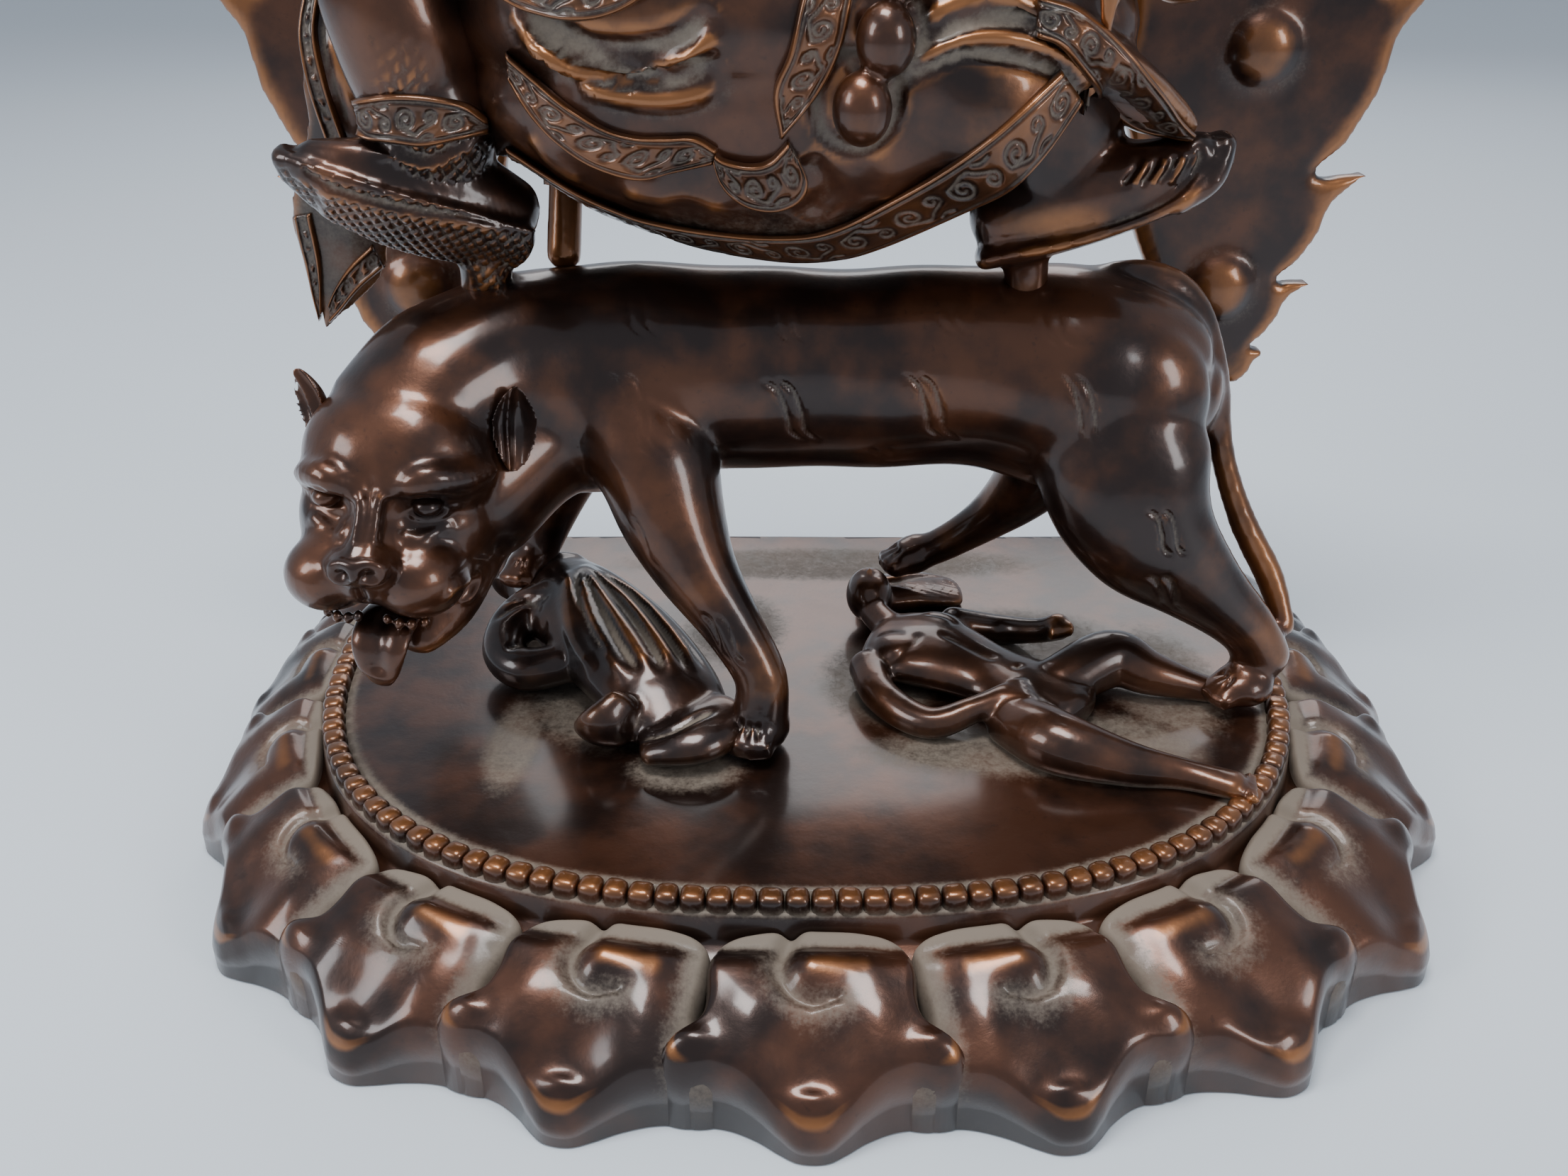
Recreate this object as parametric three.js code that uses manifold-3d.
// A cast bronze protector in robes and boots on a striding tiger, which tramples two small figures
// on a lotus base, with an openwork flame aureole behind. Millimetres, +Z up, front towards -Y,
// origin in the middle of the underside.
import * as THREE from "three";
import { mergeVertices } from "three/addons/utils/BufferGeometryUtils.js";
import Module from "manifold-3d";

const wasm = await Module();
wasm.setup();

// Driving dimensions
const plateTop = 34; // upper face of the base above the table
const ring = { halfWidth: 128.5, halfDepth: 115.5, middleY: 44, squareness: 2.5 }; // line of the bead rim
const backEdge = 112; // where the base is cut off straight
const beadRadius = 2.9;
const beadsPerPetal = 7;
const petalReach = { mean: 38, rightMore: 3.2, frontMore: 1.5 }; // from the bead rim to the petals' tips
const petalCount = 20; // round the whole oval, of which the straight back removes a third
const spineY = 33; // the tiger's middle plane
const backTop = 146; // the tiger's shoulders
const socketRadius = 5.4;
const clearance = 0.35; // between castings that touch
const aureoleY = 84; // middle of the aureole's thickness
const aureoleThick = 8;
const aureoleTop = 412;
const aureoleFoot = 92;
const lugFace = 66; // where the aureole's lug meets the deity's back

const deg = Math.PI / 180;
const lerp = THREE.MathUtils.lerp;
const vec = (p) => new THREE.Vector3(p[0], p[1], p[2]);

const bronze = (color) => new THREE.MeshStandardMaterial({ color, roughness: 0.35, metalness: 0.85 });

// Solids

function solid(positions, indices) {
  return new wasm.Manifold(
    new wasm.Mesh({
      numProp: 3,
      vertProperties: new Float32Array(positions),
      triVerts: new Uint32Array(indices),
    }),
  );
}

function solidOf(geometry, matrix = new THREE.Matrix4()) {
  const bare = geometry.clone().applyMatrix4(matrix);
  bare.deleteAttribute("normal");
  bare.deleteAttribute("uv");
  const merged = mergeVertices(bare, 1e-4);
  return solid(merged.attributes.position.array, merged.index.array);
}

const fuse = (parts) => parts.reduce((all, part) => all.add(part));
const carve = (body, parts) => body.subtract(fuse(parts));

function meshOf(name, body, color) {
  const made = body.getMesh();
  const geometry = new THREE.BufferGeometry();
  geometry.setAttribute("position", new THREE.BufferAttribute(Float32Array.from(made.vertProperties), 3));
  geometry.setIndex(new THREE.BufferAttribute(Uint32Array.from(made.triVerts), 1));
  geometry.computeVertexNormals();
  const mesh = new THREE.Mesh(geometry, bronze(color));
  mesh.name = name;
  return mesh;
}

// A station is [x, y, z, half width, half height]; the height lies along "up".
function ringFrame(stations, t, up) {
  const path = new THREE.CatmullRomCurve3(stations.map(vec), false, "centripetal");
  const sizes = new THREE.CatmullRomCurve3(stations.map((s) => new THREE.Vector3(s[3], s[4] ?? s[3], 0)));
  const along = path.getTangent(t);
  const high = vec(up).addScaledVector(along, -vec(up).dot(along)).normalize();
  const wide = high.clone().cross(along);
  return { at: path.getPoint(t), along, high, wide, size: sizes.getPoint(t) };
}

function skinPoint(stations, t, angle, grow = 0, up = [0, 0, 1]) {
  const f = ringFrame(stations, t, up);
  return f.at
    .addScaledVector(f.wide, (f.size.x + grow) * Math.cos(angle))
    .addScaledVector(f.high, (f.size.y + grow) * Math.sin(angle));
}

function limb(stations, { sides = 8, steps = 8, up = [0, 0, 1], tip = 0.5 } = {}) {
  const positions = [];
  const indices = [];
  for (let k = 0; k <= steps; k++) {
    const f = ringFrame(stations, k / steps, up);
    for (let i = 0; i < sides; i++) {
      const angle = ((i + 0.5) / sides) * 2 * Math.PI;
      const p = f.at
        .clone()
        .addScaledVector(f.wide, f.size.x * Math.cos(angle))
        .addScaledVector(f.high, f.size.y * Math.sin(angle));
      positions.push(p.x, p.y, p.z);
    }
  }
  for (let k = 0; k < steps; k++)
    for (let i = 0; i < sides; i++) {
      const a = k * sides + i;
      const b = k * sides + ((i + 1) % sides);
      indices.push(a, b, b + sides, a, b + sides, a + sides);
    }
  for (const [k, way] of [
    [0, -1],
    [steps, 1],
  ]) {
    const f = ringFrame(stations, k / steps, up);
    const p = f.at.addScaledVector(f.along, way * tip * Math.min(f.size.x, f.size.y));
    const pole = positions.length / 3;
    positions.push(p.x, p.y, p.z);
    for (let i = 0; i < sides; i++) {
      const a = k * sides + i;
      const b = k * sides + ((i + 1) % sides);
      indices.push(...(way > 0 ? [a, b, pole] : [b, a, pole]));
    }
  }
  return solid(positions, indices);
}

function ball(at, radii, turn = [0, 0, 0], around = 6, down = 4) {
  const matrix = new THREE.Matrix4().compose(
    vec(at),
    new THREE.Quaternion().setFromEuler(new THREE.Euler(turn[0] * deg, turn[1] * deg, turn[2] * deg)),
    vec(typeof radii === "number" ? [radii, radii, radii] : radii),
  );
  const upright = new THREE.Matrix4().makeRotationX(90 * deg);
  return solidOf(new THREE.SphereGeometry(1, around, down), matrix.multiply(upright));
}

function rod(from, to, radius, sides = 8) {
  const a = vec(from);
  const way = vec(to).sub(a);
  const turn = new THREE.Quaternion().setFromUnitVectors(new THREE.Vector3(0, 1, 0), way.clone().normalize());
  const matrix = new THREE.Matrix4().compose(a.addScaledVector(way, 0.5), turn, new THREE.Vector3(1, 1, 1));
  return solidOf(new THREE.CylinderGeometry(radius, radius, way.length(), sides), matrix);
}

function block(low, high) {
  const size = vec(high).sub(vec(low));
  const middle = vec(low).addScaledVector(size, 0.5);
  return solidOf(new THREE.BoxGeometry(size.x, size.y, size.z), new THREE.Matrix4().setPosition(middle));
}

// Lotus base

// A function of a fraction of the way round the superellipse that lies "out" beyond the bead line,
// counted from the front middle towards +X, at an even pace.
function oval(out) {
  const fine = 720;
  const power = 2 / ring.squareness;
  const points = [];
  for (let i = 0; i <= fine; i++) {
    const a = (i / fine) * 2 * Math.PI - Math.PI / 2;
    const c = Math.cos(a);
    const s = Math.sin(a);
    const x = (ring.halfWidth + out) * Math.sign(c) * Math.abs(c) ** power;
    const y = ring.middleY + (ring.halfDepth + out) * Math.sign(s) * Math.abs(s) ** power;
    points.push(new THREE.Vector2(x, y));
  }
  const run = [0];
  for (let i = 1; i <= fine; i++) run.push(run[i - 1] + points[i].distanceTo(points[i - 1]));
  return (fraction) => {
    const want = (((fraction % 1) + 1) % 1) * run[fine];
    const i = Math.max(1, run.findIndex((r) => r >= want));
    return points[i - 1].clone().lerp(points[i], (want - run[i - 1]) / (run[i] - run[i - 1]));
  };
}

// Across a petal, s runs from -0.5 to 0.5, with +0.5 on the side that overlaps the next petal.
function petalReachAt(s) {
  const tip = 0.19 * Math.exp(-((s / 0.11) ** 2));
  const lobe = 0.09 * Math.exp(-(((s - 0.42) / 0.1) ** 2)) + 0.03 * Math.exp(-(((s + 0.42) / 0.1) ** 2));
  return 0.83 + tip + lobe;
}
function petalHeight(s, t) {
  const slope = lerp(27, 9.5, t ** 1.15);
  const across = Math.cos(s * Math.PI * 0.95) ** 0.8;
  const belly = 8 * across * Math.sin(Math.min(1, t * 1.05) * Math.PI) ** 0.8;
  const overlap = 4.5 * s * Math.sin(t * Math.PI) + 2.5 * Math.max(0, s) * t;
  // The curled boss near the inner end.
  const boss = 3.5 * Math.exp(-((s / 0.1) ** 2) - ((t - 0.3) / 0.15) ** 2);
  return slope + belly + overlap + boss;
}

function makeLotusBase() {
  const petalColumns = beadsPerPetal * petalCount;
  const positions = [];
  const indices = [];
  const rows = [];
  const addRow = (count, place) => {
    rows.push({ start: positions.length / 3, count });
    for (let k = 0; k < count; k++) positions.push(...place(k));
  };

  // The beads: every second column is a bead's middle, and the ones between are the pinches.
  const beadBands = [
    { out: -1.1, up: 0, count: petalColumns },
    { out: 0.3, up: 0.9, count: 2 * petalColumns },
    { out: 1, up: -1, count: petalColumns },
  ];
  for (const band of beadBands)
    addRow(band.count, (k) => {
      const pinched = band.count > petalColumns && k % 2 === 1;
      const radius = pinched ? beadRadius * 0.3 : beadRadius;
      const p = oval(band.out * radius)(k / band.count);
      return [p.x, p.y, plateTop + band.up * radius];
    });

  // The channel and the petals, with as many columns as there are beads.
  const channelMiddle = 4.5;
  const channelOuter = 8;
  const channelFloor = 24.5;
  const farReach = 45;
  const channel = oval(channelMiddle);
  const inner = oval(channelOuter);
  const far = oval(farReach);
  const outer = (f) => {
    const around = 2 * Math.PI * f;
    const more = petalReach.rightMore * Math.sin(around) + petalReach.frontMore * Math.cos(around);
    const share = (petalReach.mean + more - channelOuter) / (farReach - channelOuter);
    return inner(f).lerp(far(f), share);
  };
  addRow(petalColumns, (k) => {
    const p = channel(k / petalColumns);
    return [p.x, p.y, channelFloor];
  });
  const petalBands = [
    { t: 0 },
    { t: 0.3 },
    { t: 0.68 },
    { t: 0.95 },
    { t: 1, z: 5 },
    { t: 0.97, z: 0 },
  ];
  for (const band of petalBands)
    addRow(petalColumns, (k) => {
      const petal = Math.round(k / beadsPerPetal);
      const across = (k - petal * beadsPerPetal) / beadsPerPetal;
      const s = petal % petalCount === 0 ? Math.abs(across) : across * (petal > petalCount / 2 ? -1 : 1);
      const f = k / petalColumns;
      const start = 0.3 * s * s * (1 - band.t); // the inner ends are round too
      const p = inner(f).lerp(outer(f), start + (1 - start) * band.t * petalReachAt(s));
      return [p.x, p.y, band.z ?? petalHeight(s, band.t)];
    });

  rows.slice(1).forEach((low, r) => {
    const high = rows[r];
    const columns = Math.min(low.count, high.count);
    const stepHigh = high.count / columns;
    const stepLow = low.count / columns;
    for (let k = 0; k < columns; k++) {
      const a = low.start + k * stepLow;
      const b = low.start + (((k + 1) * stepLow) % low.count);
      const c = high.start + k * stepHigh;
      const d = high.start + (((k + 1) * stepHigh) % high.count);
      if (stepHigh > 1) indices.push(c, a, c + 1, c + 1, a, b, c + 1, b, d);
      else if (stepLow > 1) indices.push(c, a, a + 1, c, a + 1, d, a + 1, b, d);
      else indices.push(c, a, b, c, b, d);
    }
  });
  const top = positions.length / 3;
  positions.push(0, ring.middleY, plateTop, 0, ring.middleY, 0);
  const lid = rows[0];
  for (let k = 0; k < lid.count; k++) indices.push(top, lid.start + k, lid.start + ((k + 1) % lid.count));
  const foot = rows[rows.length - 1];
  for (let k = 0; k < foot.count; k++)
    indices.push(top + 1, foot.start + ((k + 1) % foot.count), foot.start + k);

  const behind = block([-400, backEdge, -10], [400, 400, 100]);
  return solid(positions, indices).subtract(behind);
}

// Robed figure under the fore paws

function makeRobedVictim() {
  const floor = plateTop + clearance;
  const body = limb(
    [
      [-78, 58, 46, 10, 8],
      [-66, 42, 48, 15, 11],
      [-50, 20, 46, 17, 12],
      [-38, 2, 43, 17, 11],
      [-32, -10, 40, 15, 8],
    ],
    { sides: 8, steps: 4 },
  );
  const folds = [0, 1, 2].map((k) =>
    limb(
      [
        [-67 + 8 * k, 35 - 3 * k, 55 - k, 1.6, 2],
        [-56 + 9 * k, 16 - 3 * k, 54 - k, 2.6, 2.8],
        [-48 + 9 * k, -5 - 3 * k, 47 - k, 2, 2],
      ],
      { sides: 4, steps: 2 },
    ),
  );
  const nearArm = limb(
    [
      [-66, 38, 52, 6, 6],
      [-80, 30, 46, 6, 6],
      [-82, 20, 42, 6, 6],
      [-74, 14, 42, 6, 6],
      [-60, 22, 50, 5, 5],
    ],
    { sides: 6, steps: 5 },
  );
  const head = ball([-86, 66, 44], [9, 10, 9]);
  const shoe = limb(
    [
      [-52, -8, 38, 7, 4],
      [-50, -14, 42, 8, 6],
      [-46, -12, 47, 6, 4],
    ],
    { sides: 6, steps: 2, up: [0, 1, 0.4] },
  );
  const farShoe = limb(
    [
      [-38, -14, 38, 12, 5],
      [-28, -15, 40, 12, 7],
      [-20, -8, 41, 8, 6],
    ],
    { sides: 6, steps: 2 },
  );
  const below = block([-200, -200, -50], [200, 200, floor]);
  return carve(fuse([body, ...folds, nearArm, head, shoe, farShoe]), [below, ...tigerLegs(clearance)]);
}

// Bare figure under the hind paws

function makeBareVictim() {
  const floor = plateTop + clearance;
  const head = ball([19, 52, 44], [6.5, 8, 7.5], [20, 0, 0], 7, 5);
  const hair = limb(
    [
      [22, 58, 39, 8, 5],
      [34, 66, 38, 10, 4],
      [46, 68, 36, 8, 2.5],
    ],
    { sides: 6, steps: 2 },
  );
  const neck = limb([
    [20, 46, 42, 4.5, 4.5],
    [27, 34, 40, 5, 5],
  ], { sides: 6, steps: 1 });
  const trunk = limb(
    [
      [22, 30, 40, 17, 6],
      [34, 25, 41, 17, 7],
      [50, 16, 39, 12, 6],
      [62, 5, 39, 14, 7],
      [68, -1, 38, 11, 6],
    ],
    { sides: 8, steps: 4 },
  );
  const nearArm = limb(
    [
      [17, 18, 40, 5.5, 5],
      [20, 4, 39, 5, 5],
      [31, -7, 38, 4.5, 4.5],
      [42, -6, 41, 4, 4],
      [55, -1, 44, 4, 2.5],
    ],
    { sides: 6, steps: 4 },
  );
  const farArm = limb(
    [
      [42, 40, 41, 5, 5],
      [56, 42, 38, 4.5, 4.5],
      [66, 36, 41, 4, 4],
      [71, 33, 44, 4.5, 4.5],
    ],
    { sides: 6, steps: 3 },
  );
  const nearLeg = limb(
    [
      [54, -6, 38, 9, 7],
      [62, -19, 40, 8.5, 8],
      [78, -25, 38, 6.5, 5.5],
      [91, -28, 37, 4.5, 4],
      [103, -33, 37, 5, 3],
    ],
    { sides: 6, steps: 5 },
  );
  const farLeg = limb(
    [
      [66, 8, 40, 8, 7],
      [82, 17, 43, 8, 8],
      [92, 13, 41, 6.5, 6],
      [104, 11, 38, 4, 4],
      [111, 10, 37, 4.5, 3],
    ],
    { sides: 6, steps: 5 },
  );
  const below = block([-200, -200, -50], [200, 200, floor]);
  const figure = fuse([head, hair, neck, trunk, nearArm, farArm, nearLeg, farLeg]);
  return carve(figure, [below, ...tigerLegs(clearance)]);
}

// Tiger

const tigerBody = [
  [-84, 29, 112, 12, 15],
  [-74, 31, 116, 22, 27],
  [-52, spineY, backTop - 30, 25, 30],
  [-22, 35, 118, 23, 26.5],
  [15, 36, 118, 22, 25.5],
  [45, 35, 118, 23, 26.5],
  [70, spineY, 116, 26, 29],
  [88, 32, 112, 21, 25],
  [96, 32, 109, 12, 15],
];
const nearForeLeg = [
  [-48, 20, 112, 14, 17],
  [-38, 14, 100, 12, 16],
  [-30, 8, 85, 10, 13],
  [-19, -2, 66, 7.5, 9],
  [-11, -8, 52, 6, 6.5],
  [-12, -10, 42, 6, 7],
];
const nearHindLeg = [
  [78, 24, 116, 14, 20],
  [79, 15, 98, 14, 22],
  [88, 10, 82, 11, 17],
  [102, 10, 68, 8.5, 12],
  [117, 12, 54, 7, 8],
  [122, 12, 44, 6.5, 7],
];
const farForeLeg = [
  [-56, 46, 108, 12, 17],
  [-64, 52, 88, 10, 13],
  [-72, 54, 70, 8, 9],
  [-77, 52, 58, 7, 7],
];
const farHindLeg = [
  [76, 44, 108, 13, 18],
  [66, 54, 82, 10, 12],
  [54, 60, 66, 7, 8],
  [40, 64, 54, 5.5, 6],
  [32, 66, 51, 6, 4.5],
];
// Each paw is [x, y, z, heading in degrees, toes]; the far ones are half hidden and plain.
const paws = [
  [-13, -9, 39.8, -105, 3],
  [115, 9, 40, 200, 3],
  [-79, 48, 56, -105, 0],
  [32, 65, 50, 200, 0],
];

// An S-shaped groove on a limb's skin round the fraction t, between two angles in degrees.
function stripe(stations, t, fromAngle, toAngle, sweep, up) {
  const points = [];
  for (let i = 0; i <= 4; i++) {
    const f = i / 4;
    const taper = 0.2 + Math.sin(f * Math.PI);
    const place = t + sweep * (f - 0.5) + 0.012 * Math.sin(2 * Math.PI * f);
    const p = skinPoint(stations, place, lerp(fromAngle, toAngle, f) * deg, -0.2, up);
    points.push([p.x, p.y, p.z, 1.3 * taper, 1.3 * taper]);
  }
  return limb(points, { sides: 3, steps: 3, up: [0.1, 0.3, 1], tip: 0.2 });
}

function paw([x, y, z, turn, toeCount], grow = 0) {
  const toes = [-1, 0, 1].slice(0, toeCount).map((k) => {
    const a = turn * deg + k * 0.42;
    const at = [x + 7.5 * Math.cos(a), y + 7.5 * Math.sin(a), z - 1.2];
    return ball(at, [3.6 + grow, 3 + grow, 3.6 + grow], [0, 0, turn], 4, 3);
  });
  return [ball([x, y, z], [8.5 + grow, 7 + grow, 5.2 + grow], [0, 0, turn]), ...toes];
}

// The legs and paws, grown a little where they are used to seat them in the figures.
function tigerLegs(grow = 0) {
  const grown = (stations) => stations.map(([x, y, z, w, h]) => [x, y, z, w + grow, h + grow]);
  return [
    limb(grown(nearForeLeg), { sides: 7, steps: 6, up: [0, -1, 0.2] }),
    limb(grown(nearHindLeg), { sides: 7, steps: 6, up: [-1, 0, 0] }),
    limb(grown(farForeLeg), { sides: 6, steps: 3, up: [0, -1, 0.2] }),
    limb(grown(farHindLeg), { sides: 6, steps: 4, up: [-1, 0, 0] }),
    ...paws.flatMap((place) => paw(place, grow)),
  ];
}

function makeTigerHead() {
  const skull = ball([-92, 1, 108], [26, 25, 22], [0, 0, -20], 9, 6);
  const cheeks = [ball([-81, -6, 90], [12, 14, 15]), ball([-113, -3, 94], [10, 13, 14])];
  const bridge = limb(
    [
      [-97, -12, 112, 9, 7],
      [-99, -22, 103, 7, 7],
      [-101, -27, 93, 8, 6],
    ],
    { sides: 5, steps: 2, up: [0, -1, 0] },
  );
  const muzzle = [ball([-92, -20, 86], [12, 11, 10]), ball([-109, -19, 87], [11, 11, 10])];
  const nose = ball([-101, -29, 92.5], [7, 4, 3.6], [0, 0, -10]);
  const jaw = limb(
    [
      [-88, 0, 78, 12, 9],
      [-95, -10, 72, 12, 7],
      [-100, -18, 68, 9, 4.5],
    ],
    { sides: 6, steps: 2 },
  );
  const tongue = limb(
    [
      [-98, -12, 73, 6, 2.5],
      [-100, -21, 70, 6, 2.2],
      [-101, -25, 63, 5.5, 2],
      [-101, -24, 58, 4, 1.6],
    ],
    { sides: 4, steps: 3, up: [0, -0.6, 1] },
  );
  const brows = [
    [
      [-86, -18, 111, 4, 3],
      [-79, -15, 109, 5, 4],
      [-73, -8, 106, 3, 3],
    ],
    [
      [-103, -17, 112, 3, 3],
      [-111, -13, 111, 5, 4],
      [-116, -6, 108, 3, 3],
    ],
  ];
  const browLimbs = brows.map((stations) => limb(stations, { sides: 4, steps: 2 }));
  const eyes = [
    ball([-86, -17, 104], [5, 4, 3.2], [0, 0, 0], 5, 3),
    ball([-110, -15, 105.5], [4.6, 4, 3.2], [0, 0, 0], 5, 3),
  ];
  const ears = [
    ball([-69, 4, 117], [4, 5, 10.5], [0, 22, 0]),
    ball([-117, 6, 122], [4, 5, 8.5], [0, -25, 0]),
  ];
  const mouth = limb(
    [
      [-98, -30, 76, 8, 2.6],
      [-95, -12, 76, 10, 3],
      [-93, -6, 77, 6, 2],
    ],
    { sides: 5, steps: 2 },
  );
  return fuse([skull, ...cheeks, bridge, ...muzzle, jaw, ...browLimbs, ...eyes, ...ears])
    .subtract(mouth)
    .add(nose)
    .add(tongue);
}

function makeTiger() {
  const body = limb(tigerBody, { sides: 10, steps: 8 });
  const neck = limb(
    [
      [-66, 31, 118, 24, 26],
      [-80, 18, 114, 22, 23],
      [-90, 6, 108, 20, 21],
    ],
    { sides: 8, steps: 2 },
  );
  const tail = limb(
    [
      [70, 36, 138, 4.5, 4.5],
      [84, 38, 142, 4.5, 4.5],
      [97, 38, 135, 4.5, 4.5],
      [104, 36, 118, 4.3, 4.3],
      [108, 32, 98, 4.1, 4.1],
      [115, 28, 80, 4, 4],
      [124, 24, 64, 3.8, 3.8],
      [128, 18, 52, 3.4, 3.4],
    ],
    { sides: 5, steps: 8, up: [0, 1, 0] },
  );
  const marks = [
    stripe(tigerBody, 0.48, 92, 124, 0.05),
    stripe(tigerBody, 0.65, 92, 124, 0.05),
    stripe(tigerBody, 0.33, 150, 192, 0.06),
    stripe(tigerBody, 0.47, 152, 205, 0.03),
    stripe(tigerBody, 0.63, 148, 203, 0.03),
    stripe(nearForeLeg, 0.42, 60, 110, 0.1, [0, -1, 0.2]),
    stripe(nearHindLeg, 0.3, 75, 20, 0.1, [-1, 0, 0]),
  ];
  const sockets = heelTenons.map(([from, to]) => rod(from, to, socketRadius, 8));
  return carve(fuse([body, neck, makeTigerHead(), ...tigerLegs(), tail]), [...marks, ...sockets]);
}

// Deity

// Each tenon runs from inside the boot's heel down into the tiger's back.
const heelTenons = [
  [[-77, 24, 158], [-82, 33, 130]],
  [[51, 29, 154], [54, 32, 130]],
];
const front = [0, -1, 0];

// A small head on the garland; "look" is the turn of its face in degrees.
function garlandHead([x, y, z], look = 0) {
  return ball([x, y, z], [6.2, 6.4, 7.5], [look, 0, 0], 5, 4);
}

// Two strands hang from the shoulders; the right one ends in an upturned head on the skirt.
function makeGarland() {
  const right = [
    [35, 11, 271],
    [32, 4, 251],
    [25, -4, 232],
    [18, -9, 217],
    [14.5, -13, 203],
  ];
  const left = right.slice(0, 3).map(([x, y, z]) => [-x, y, z]);
  const lowest = [10, -14, 190];
  const cord = (heads) => limb(heads.map(([x, y, z]) => [x, y + 2, z, 2.5, 2.5]), { sides: 4, steps: 3 });
  const heads = [...right, ...left].map((at) => garlandHead(at));
  return [cord([...right, lowest]), cord(left), ...heads, garlandHead(lowest, 40)];
}

function makeDeityHead() {
  const skull = ball([0, 30, 326], [15.5, 16.5, 19.5], [0, 0, 0], 8, 6);
  const nose = limb([[0, 14, 332, 1.6, 1.6], [0, 12, 324, 2.6, 2.4]], { sides: 4, steps: 1, up: front });
  const lips = ball([0, 15.6, 317.2], [5, 2.6, 1.7], [0, 0, 0], 4, 3);
  const eyes = [-1, 1].map((k) => ball([6 * k, 16.5, 328.5], [3.6, 2, 1.5], [0, 0, 0], 4, 3));
  const ears = [-1, 1].map((k) => ball([15 * k, 31, 324], [2.4, 3.6, 8], [0, 8 * k, 0], 4, 3));
  const bandStations = [
    [0, 30, 339, 17, 18],
    [0, 30, 343.5, 17.5, 18.5],
  ];
  const band = limb(bandStations, { sides: 8, steps: 1, up: front, tip: 0.1 });
  const leaves = [-2, -1, 0, 1, 2].map((k) => {
    const heading = -90 + 38 * k;
    const at = [17 * Math.cos(heading * deg), 30 + 18 * Math.sin(heading * deg), 348];
    return ball(at, [2.2, 5.5, 9.5], [0, 0, heading], 4, 3);
  });
  const hair = limb(
    [
      [0, 32, 342, 15, 15],
      [0, 34, 352, 11, 11],
      [0, 34, 362, 7.5, 7.5],
      [0, 34, 374, 2, 2],
    ],
    { sides: 6, steps: 3, up: front },
  );
  return [skull, nose, lips, ...eyes, ...ears, band, ...leaves, hair];
}

function makeRobes() {
  const skirt = limb(
    [
      [-74, 28, 178, 10, 10],
      [-62, 27, 184, 20, 20],
      [-45, 26, 187, 28, 28],
      [-20, 25, 190, 33, 38],
      [3, 25, 191, 34, 41],
      [28, 25, 195, 32, 39],
      [46, 26, 199, 28, 30],
      [66, 27, 200, 12, 12],
    ],
    { sides: 8, steps: 7 },
  );
  const hem = limb(
    [
      [-74, 14, 178, 2.4, 4.5],
      [-64, 4, 172, 2.4, 4.5],
      [-50, 0, 165, 2.4, 4.5],
      [-24, -3, 158, 2.4, 4.5],
      [3, -3, 155.5, 2.4, 4.5],
      [24, -2, 160, 2.4, 4.5],
      [42, 1, 170, 2.4, 4.5],
      [59, 8, 188, 2.4, 4.5],
    ],
    { sides: 4, steps: 7 },
  );
  const upperRobe = limb(
    [
      [-78, 24, 205, 11, 13],
      [-56, 23, 206, 25, 24],
      [-26, 21, 207, 34, 31],
      [-8, 21, 204, 34, 33],
      [6, 24, 208, 30, 28],
      [16, 28, 212, 16, 16],
    ],
    { sides: 8, steps: 5 },
  );
  const wavyHem = limb(
    [
      [-66, 12, 196, 2, 3.5],
      [-55, 0, 182, 2.2, 4],
      [-38, -10, 179, 2.2, 4],
      [-22, -13, 178, 2.2, 4],
      [-12, -13, 171, 2.2, 4],
      [-1, -11, 172, 2.2, 4],
      [-3, -11, 188, 2, 3.5],
      [0, -11, 204, 2, 3],
      [8, -8, 218, 2, 2.5],
    ],
    { sides: 3, steps: 8, up: [0.2, 0.2, 1] },
  );
  const folds = [0, 1, 2].map((k) =>
    limb(
      [
        [-56, 4, 206 + 6 * k, 1.6, 1.8],
        [-40, -8, 195 + 6 * k, 2.6, 2.6],
        [-20, -12, 192 + 7 * k, 1.6, 1.6],
      ],
      { sides: 3, steps: 2 },
    ),
  );
  const knee = ball([36, 12, 192], [27, 22, 26], [0, 15, 0], 8, 5);
  const outerRobe = limb(
    [
      [18, 22, 218, 22, 5],
      [44, 18, 205, 24, 5],
      [70, 18, 191, 20, 4.5],
      [86, 22, 182, 10, 4],
    ],
    { sides: 6, steps: 3, up: [0.5, 0, 1] },
  );
  const outerHem = limb(
    [
      [14, -4, 216, 3, 4],
      [44, -6, 200, 3, 5],
      [68, 0, 189, 3, 5],
      [87, 10, 180, 2.5, 4],
    ],
    { sides: 4, steps: 3 },
  );
  const tail = limb(
    [
      [-58, 50, 222, 14, 4],
      [-88, 43, 203, 15, 3.4],
      [-101, 40, 178, 16, 3],
      [-110, 41, 150, 12, 2.6],
      [-119, 41, 127, 2.5, 1.6],
    ],
    { sides: 6, steps: 4, up: [0, 1, 0] },
  );
  const back = limb(
    [
      [-4, 52, 262, 34, 6],
      [-6, 56, 225, 56, 7],
      [-6, 57, 190, 66, 7],
      [-6, 55, 160, 62, 5],
    ],
    { sides: 8, steps: 3, up: [0, 1, 0], tip: 0.2 },
  );
  return [skirt, hem, upperRobe, wavyHem, ...folds, knee, outerRobe, outerHem, tail, back];
}

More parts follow.
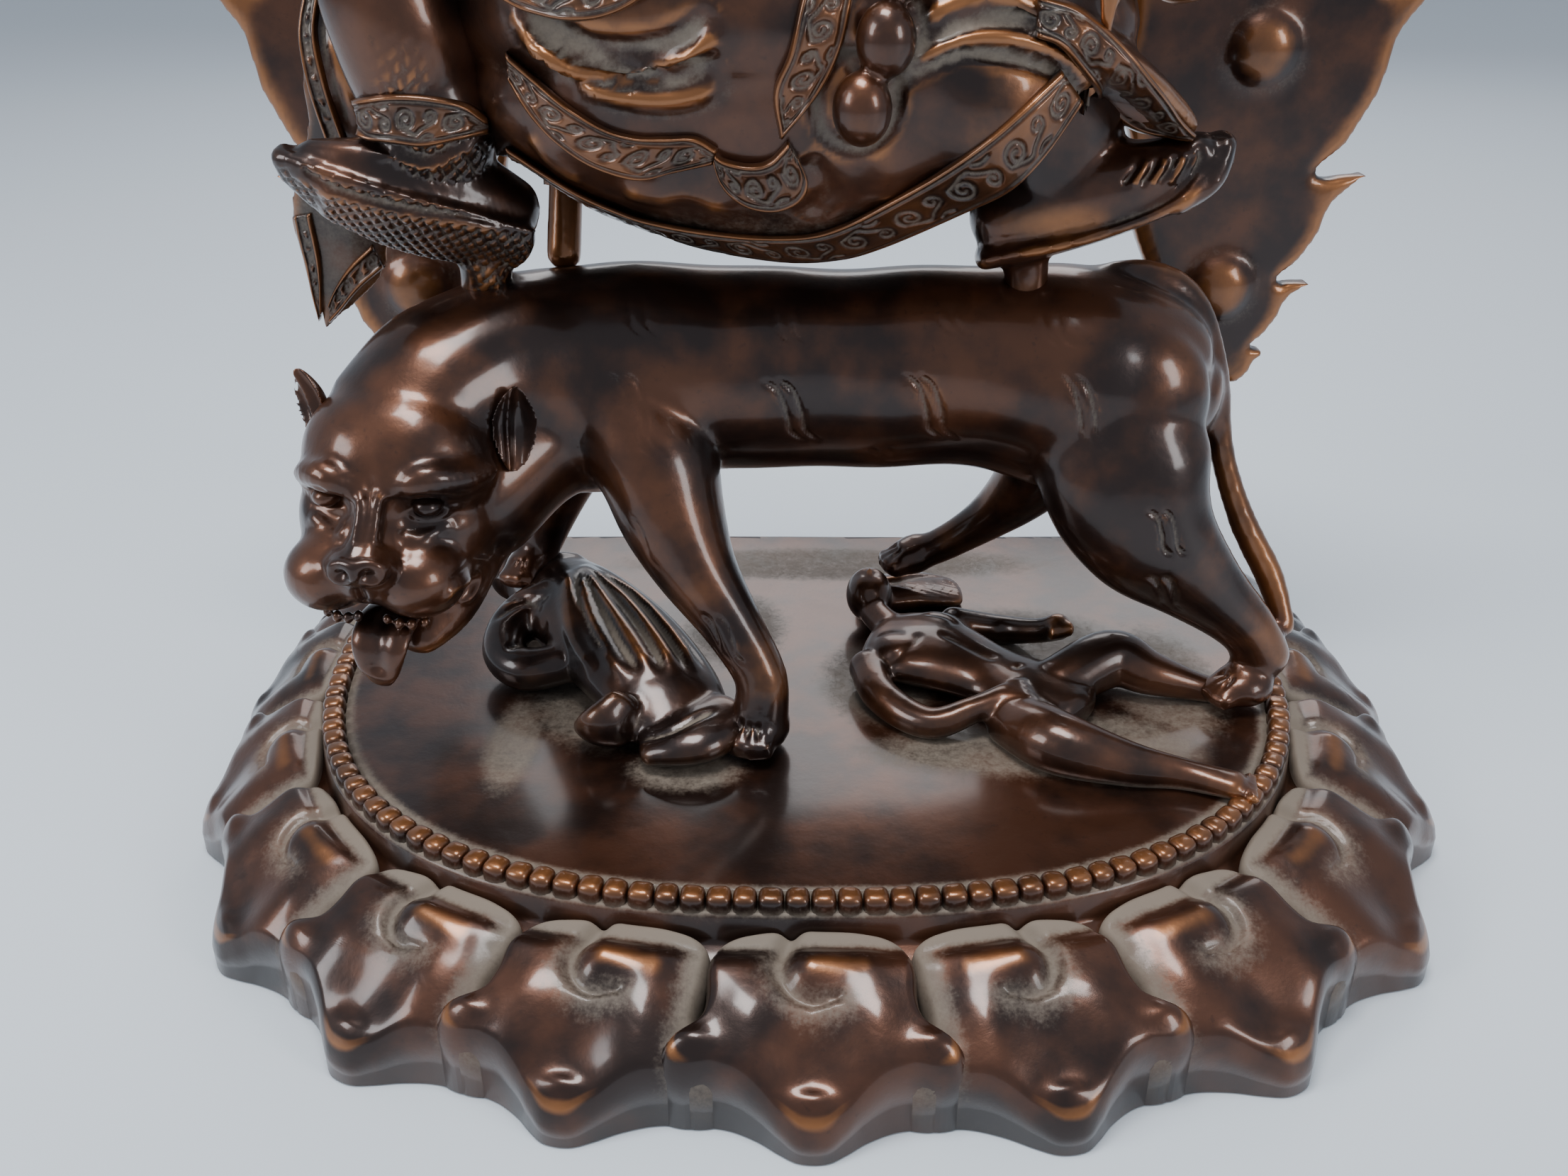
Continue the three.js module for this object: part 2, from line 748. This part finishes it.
function makeLegsAndBoots() {
  const leftLeg = limb(
    [
      [-86, 19, 174, 11, 11],
      [-84, 17, 188, 14, 14],
      [-84, 14, 208, 13, 14],
      [-80, 14, 226, 15, 15],
      [-56, 22, 230, 18, 18],
      [-30, 30, 226, 20, 20],
    ],
    { sides: 7, steps: 5, up: front },
  );
  const cuff = limb([[-84.5, 17.5, 181, 15.5, 15.5], [-84, 16.5, 192, 14.6, 15]], {
    sides: 8,
    steps: 1,
    up: front,
    tip: 0.05,
  });
  const rightLeg = limb(
    [
      [58, 26, 166, 12, 12],
      [57, 25, 182, 15, 13],
      [44, 24, 200, 16, 16],
    ],
    { sides: 7, steps: 2, up: front },
  );
  const leftLean = [-0.2, 0.55, 0.8];
  const leftBoot = [
    limb(
      [
        [-70, 23, 161, 8.5, 8.5],
        [-80, 20, 166, 10, 11],
        [-92, 16, 170, 11, 10],
        [-105, 12, 174, 10, 7],
        [-116, 9, 179, 6, 4],
      ],
      { sides: 7, steps: 4, up: leftLean },
    ),
    limb(
      [
        [-68, 20, 153, 9.5, 3.2],
        [-80, 15, 156.5, 11, 3.2],
        [-94, 10, 162, 12, 3.2],
        [-108, 7, 169, 10.5, 3.2],
        [-119, 7, 176, 6, 2.6],
      ],
      { sides: 6, steps: 4, up: leftLean, tip: 0.2 },
    ),
  ];
  const rightLean = [-0.2, 0.2, 1];
  const rightBoot = [
    limb(
      [
        [46, 26, 158, 9.5, 9.5],
        [56, 25, 163, 11, 12],
        [69, 23, 167, 11.5, 11],
        [83, 21, 172, 10, 8],
        [95, 19, 179, 6, 4.5],
      ],
      { sides: 7, steps: 4, up: rightLean },
    ),
    limb(
      [
        [42, 25, 149, 10, 3.2],
        [56, 24, 152.5, 11.5, 3.2],
        [72, 22, 158, 12, 3.2],
        [88, 20, 166, 10.5, 3.2],
        [99, 19, 176, 6, 2.6],
      ],
      { sides: 6, steps: 4, up: rightLean, tip: 0.2 },
    ),
  ];
  const tenonRadius = socketRadius - clearance;
  const tenons = heelTenons.map(([from, to]) => {
    const shortened = vec(to).lerp(vec(from), 0.06).toArray();
    return rod(from, shortened, tenonRadius);
  });
  const strut = rod([-60, 50, 166], [-61, 41, 148], 4.5, 6);
  return [leftLeg, cuff, rightLeg, ...leftBoot, ...rightBoot, ...tenons, strut];
}

function makeTorso() {
  const chest = limb(
    [
      [-8, 29, 205, 52, 29],
      [-8, 31, 222, 46, 29],
      [-4, 34, 242, 38, 26],
      [0, 35, 264, 39, 25],
      [0, 36, 284, 43, 22],
      [0, 36, 296, 27, 17],
      [0, 34, 304, 11, 11],
      [0, 32, 312, 10, 10],
    ],
    { sides: 9, steps: 7, up: front },
  );
  const sashStations = [
    [-2, 33, 236, 41, 28],
    [-1, 34, 246, 40, 27],
  ];
  const sash = limb(sashStations, { sides: 9, steps: 1, up: front, tip: 0.05 });
  const lapels = [-1, 1].map((k) =>
    limb([[22 * k, 18, 294, 4, 2.6], [11 * k, 11, 272, 4, 2.6], [-4 * k, 8, 250, 4, 2.6]], {
      sides: 3,
      steps: 2,
      up: front,
    }),
  );
  const backPad = block([-10, 48, 236], [8, lugFace, 248]);
  return [chest, sash, ...lapels, backPad];
}

// The raised right hand holds a double-ended vajra, and the lowered left hand a dagger.
function makeArms() {
  const raisedArm = limb(
    [
      [-34, 36, 282, 15, 15],
      [-62, 30, 268, 15, 15],
      [-80, 18, 272, 14, 15],
      [-84, 8, 292, 12, 12],
    ],
    { sides: 7, steps: 3, up: front },
  );
  const raisedSleeve = limb(
    [
      [-62, 28, 268, 17, 9],
      [-80, 24, 248, 17, 8],
      [-92, 28, 222, 10, 5],
    ],
    { sides: 6, steps: 2, up: front },
  );
  const wrist = limb([[-84, 8, 290, 6, 6], [-84, 4, 306, 6.5, 6]], { sides: 6, steps: 1, up: front });
  const vajra = limb(
    [
      [-105, -2, 313, 1, 1],
      [-99, -1, 312.7, 5, 5],
      [-91, 0, 312.4, 2.6, 2.6],
      [-77, 0, 311.6, 2.6, 2.6],
      [-69, 1, 311.3, 5, 5],
      [-63, 2, 311, 1, 1],
    ],
    { sides: 4, steps: 5 },
  );
  const loweredArm = limb(
    [
      [34, 36, 282, 15, 15],
      [62, 32, 264, 15, 15],
      [74, 20, 248, 14, 14],
      [66, 4, 242, 11, 11],
    ],
    { sides: 7, steps: 3, up: front },
  );
  const loweredSleeve = limb(
    [
      [66, 26, 252, 16, 9],
      [78, 26, 234, 15, 8],
      [86, 30, 210, 9, 5],
    ],
    { sides: 6, steps: 2, up: front },
  );
  const dagger = limb(
    [
      [60, -4, 264, 2, 2],
      [60, -4, 256, 4, 4],
      [60, -4, 246, 2.6, 2.6],
      [60, -4, 234, 2.6, 2.6],
      [60, -4, 226, 5, 3.4],
      [60, -4, 200, 0.8, 0.8],
    ],
    { sides: 4, steps: 5, up: front },
  );
  const hands = [ball([-84, 2, 311], [8, 7, 7]), ball([61, -2, 241], [8, 7, 7])];
  return [raisedArm, raisedSleeve, wrist, vajra, loweredArm, loweredSleeve, dagger, ...hands];
}

function makeDeity() {
  return fuse([
    ...makeRobes(),
    ...makeLegsAndBoots(),
    ...makeTorso(),
    ...makeArms(),
    ...makeGarland(),
    ...makeDeityHead(),
  ]);
}

// Flame aureole

// The arch stands on two horns: u runs from a horn's foot (0) to the crown (1).
const springHeight = 235; // where the upright sides turn into the arch
const sideShare = 0.36; // of u, below the spring
const outerHalf = 156;
const innerHalf = 76;
const archMiddle = 4; // the arch stands a little to the right

function archEdges(u) {
  const side = Math.min(1, u / sideShare);
  if (side < 1) {
    const low = 1 - side;
    return {
      inner: [innerHalf + 26 * low ** 2.5, lerp(springHeight, aureoleFoot + 14, low)],
      outer: [outerHalf - 33 * low ** 1.6, lerp(springHeight, aureoleFoot + 4, low)],
    };
  }
  const a = ((u - sideShare) / (1 - sideShare)) * 90 * deg;
  return {
    inner: [innerHalf * Math.cos(a), springHeight + 92 * Math.sin(a)],
    outer: [outerHalf * Math.cos(a), springHeight + 160 * Math.sin(a)],
  };
}

// v runs from the inner edge (0) to the outer (1) and past it in a flame's tip.
function archPoint(u, v) {
  const { inner, outer } = archEdges(u);
  return [lerp(inner[0], outer[0], v), lerp(inner[1], outer[1], v)];
}

const flameTips = [0.03, 0.08, 0.155, 0.28, 0.4, 0.51, 0.62, 0.725, 0.825, 0.915];
const spiralPlaces = [0.07, 0.24, 0.42, 0.6, 0.78, 0.94];

function makeAureole() {
  // Each tongue bulges from a notch to a hooked tip, then cuts back to the next notch.
  const outline = [archPoint(0, 0.6)];
  flameTips.forEach((tip, k) => {
    const start = k ? flameTips[k - 1] : 0;
    const reach = tip - start;
    for (const [f, v] of [
      [0.04, 0.86],
      [0.4, 0.99],
      [0.72, 0.98],
      [1.06, 1.07],
      [0.97, 0.93],
    ])
      outline.push(archPoint(start + f * reach, v));
  });
  outline.push(archPoint(0.96, 0.97), [5, aureoleTop - 10], [0, aureoleTop]);
  const inside = [];
  const innerSteps = 16;
  for (let k = 0; k <= innerSteps; k++) {
    const u = 1 - k / innerSteps;
    inside.push(archPoint(u, 0.05 * Math.sin(9.5 * Math.PI * u) ** 2));
  }
  const mirrored = (points) => points.map(([x, z]) => [-x, z]).reverse();
  const loop = [...outline, ...mirrored(outline.slice(0, -1)), ...mirrored(inside), ...inside.slice(1)];
  const shape = new THREE.Shape(loop.map(([x, z]) => new THREE.Vector2(x, z)));

  // Two oval holes beside each spiral.
  const hole = ([x, z], wide, high) => {
    const path = new THREE.Path();
    path.setFromPoints(
      [0, 1, 2, 3, 4].map((i) => {
        const a = (i / 5) * 2 * Math.PI;
        return new THREE.Vector2(x + wide * Math.cos(a), z + high * Math.sin(a));
      }),
    );
    return path;
  };
  for (const u of spiralPlaces.slice(1, -1))
    for (const [du, v, wide, high] of [
      [-0.055, 0.3, 4.5, 6.5],
      [0.06, 0.62, 4, 6],
    ])
      for (const side of [-1, 1]) {
        const [x, z] = archPoint(u + du, v);
        shape.holes.push(hole([side * x, z], wide, high));
      }
  const band = new THREE.ExtrudeGeometry(shape, { depth: aureoleThick, bevelEnabled: false, steps: 1 });
  const stand = new THREE.Matrix4()
    .makeTranslation(archMiddle, aureoleY + aureoleThick / 2, 0)
    .multiply(new THREE.Matrix4().makeRotationX(90 * deg));

  const face = aureoleY - aureoleThick / 2;
  const bosses = spiralPlaces.slice(0, -1).flatMap((u) =>
    [-1, 1].map((side) => {
      const [x, z] = archPoint(u, 0.52);
      return ball([archMiddle + side * x, face, z], [9, 5, 9], [0, 0, 0], 6, 3);
    }),
  );
  const bar = block([-innerHalf - 4, face, 236], [innerHalf + 4, face + 6, 248]);
  const lug = block([-12, lugFace + clearance, 234], [10, face + 2, 250]);
  return fuse([solidOf(band, stand), ...bosses, bar, lug]);
}

const group = new THREE.Group();
group.add(
  meshOf("lotus_base", makeLotusBase(), 0x4a3226),
  meshOf("robed_victim", makeRobedVictim(), 0x3a2a22),
  meshOf("bare_victim", makeBareVictim(), 0x4c3325),
  meshOf("tiger", makeTiger(), 0x3f2a20),
  meshOf("deity", makeDeity(), 0x45301f),
  meshOf("flame_aureole", makeAureole(), 0x36261e),
);
export default group;
